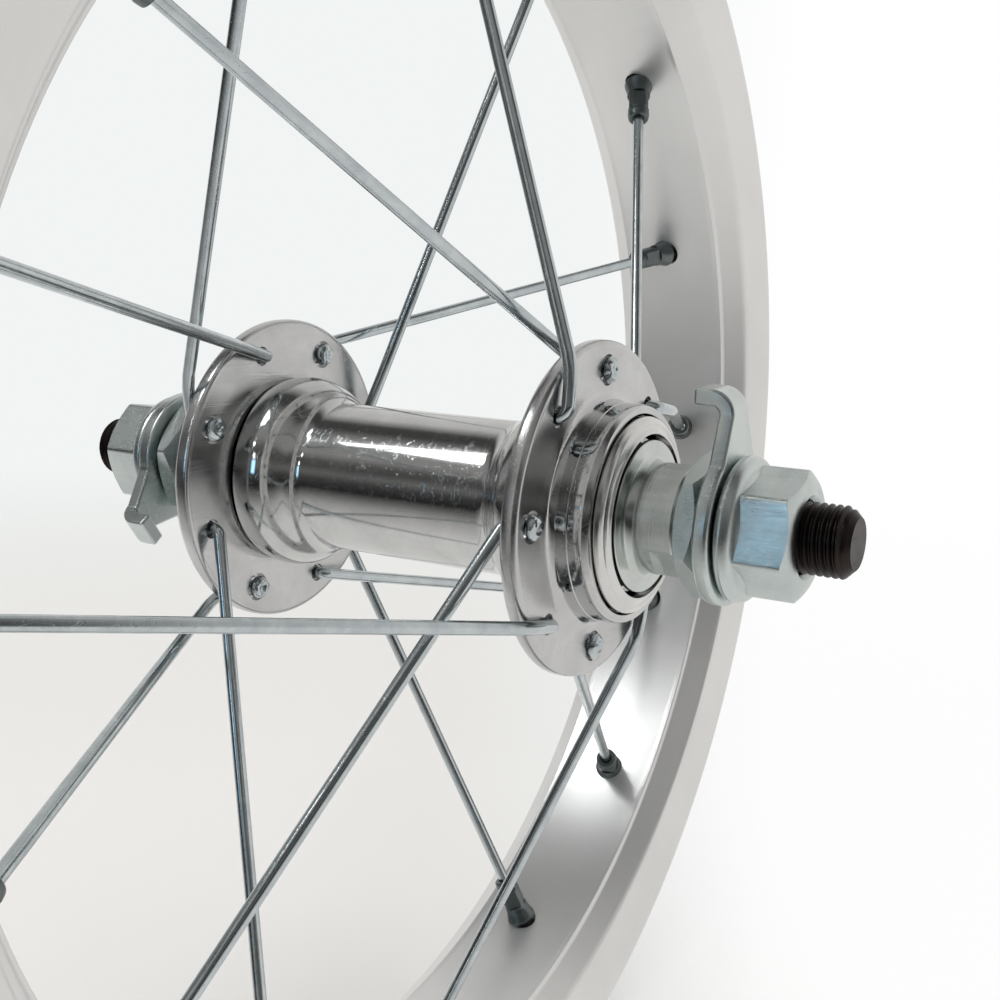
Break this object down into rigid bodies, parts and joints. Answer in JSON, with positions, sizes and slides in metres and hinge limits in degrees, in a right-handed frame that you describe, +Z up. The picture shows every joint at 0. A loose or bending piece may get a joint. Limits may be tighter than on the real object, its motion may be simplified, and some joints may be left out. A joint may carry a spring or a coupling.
{
  "type": "bicycle wheel",
  "caption": "Small bare spoked bicycle wheel: alloy box rim, plated flanged hub on loose ball bearings, threaded nipples, and a solid axle with nuts and hooked retention washers.",
  "frame": {"origin": "the wheel's centre, on the axle and in the rim's middle plane", "axes": "+Y along the axle towards the wheel's left end, +Z up, +X the way the wheel travels"},
  "size_m": [0.216, 0.128, 0.216],
  "materials": {
    "rim_alloy": "satin brushed",
    "hub_plate": "bright plate with fine pits",
    "zinc_plate": "zinc plate",
    "spoke_zinc": "zinc plate, drawn wire",
    "nipple_plate": "dull plate",
    "axle_black": "black oxide",
    "ball_steel": "polished"
  },
  "bodies": {
    "axle_set": {"axle": "axle_black", "cone_right": "zinc_plate", "cone_left": "zinc_plate", "locknut_right": "zinc_plate", "locknut_left": "zinc_plate"},
    "wheel": {"rim": "rim_alloy", "hub_shell": "hub_plate", "hub_flange_right": "hub_plate", "hub_flange_left": "hub_plate", "bearing_cup_right": "ball_steel", "bearing_cup_left": "ball_steel", "dust_cap_right": "hub_plate", "dust_cap_left": "hub_plate", "spoke_right_1": "spoke_zinc", "spoke_right_2": "spoke_zinc", "spoke_right_3": "spoke_zinc", "spoke_right_4": "spoke_zinc", "spoke_right_5": "spoke_zinc", "spoke_right_6": "spoke_zinc", "spoke_right_7": "spoke_zinc", "spoke_right_8": "spoke_zinc", "spoke_left_1": "spoke_zinc", "spoke_left_2": "spoke_zinc", "spoke_left_3": "spoke_zinc", "spoke_left_4": "spoke_zinc", "spoke_left_5": "spoke_zinc", "spoke_left_6": "spoke_zinc", "spoke_left_7": "spoke_zinc", "spoke_left_8": "spoke_zinc", "nipple_right_1": "nipple_plate", "nipple_right_2": "nipple_plate", "nipple_right_3": "nipple_plate", "nipple_right_4": "nipple_plate", "nipple_right_5": "nipple_plate", "nipple_right_6": "nipple_plate", "nipple_right_7": "nipple_plate", "nipple_right_8": "nipple_plate", "nipple_left_1": "nipple_plate", "nipple_left_2": "nipple_plate", "nipple_left_3": "nipple_plate", "nipple_left_4": "nipple_plate", "nipple_left_5": "nipple_plate", "nipple_left_6": "nipple_plate", "nipple_left_7": "nipple_plate", "nipple_left_8": "nipple_plate"},
    "ball_set_right": {"ball_set_right": "ball_steel"},
    "axle_nut_right": {"axle_nut_right": "zinc_plate"},
    "hook_washer_right": {"hook_washer_right": "zinc_plate"},
    "ball_set_left": {"ball_set_left": "ball_steel"},
    "axle_nut_left": {"axle_nut_left": "zinc_plate"},
    "hook_washer_left": {"hook_washer_left": "zinc_plate"}
  },
  "joints": [
    {"name": "wheel_spin", "type": "hinge", "parent": "axle_set", "child": "wheel", "pos_m": [0, 0, 0], "axis": [0, 1, 0], "continuous": true},
    {"name": "ball_set_right_roll", "type": "hinge", "parent": "axle_set", "child": "ball_set_right", "pos_m": [0, -0.0312, 0], "axis": [0, 1, 0], "continuous": true},
    {"name": "ball_set_left_roll", "type": "hinge", "parent": "axle_set", "child": "ball_set_left", "pos_m": [0, 0.0312, 0], "axis": [0, 1, 0], "continuous": true},
    {"name": "axle_nut_right_back_off", "type": "slide", "parent": "axle_set", "child": "axle_nut_right", "axis": [0, -1, 0], "range_m": [0, 0.006]},
    {"name": "hook_washer_right_shift", "type": "slide", "parent": "axle_set", "child": "hook_washer_right", "axis": [0, -1, 0], "range_m": [0, 0.0036]},
    {"name": "axle_nut_left_back_off", "type": "slide", "parent": "axle_set", "child": "axle_nut_left", "axis": [0, 1, 0], "range_m": [0, 0.006]},
    {"name": "hook_washer_left_shift", "type": "slide", "parent": "axle_set", "child": "hook_washer_left", "axis": [0, 1, 0], "range_m": [0, 0.0036]}
  ],
  "couplings": [
    {"joint": "ball_set_right_roll", "follows": "wheel_spin", "ratio": 0.5978},
    {"joint": "ball_set_left_roll", "follows": "wheel_spin", "ratio": 0.5978},
    {"joint": "hook_washer_right_shift", "follows": "axle_nut_right_back_off", "ratio": 0.6},
    {"joint": "hook_washer_left_shift", "follows": "axle_nut_left_back_off", "ratio": 0.6}
  ]
}
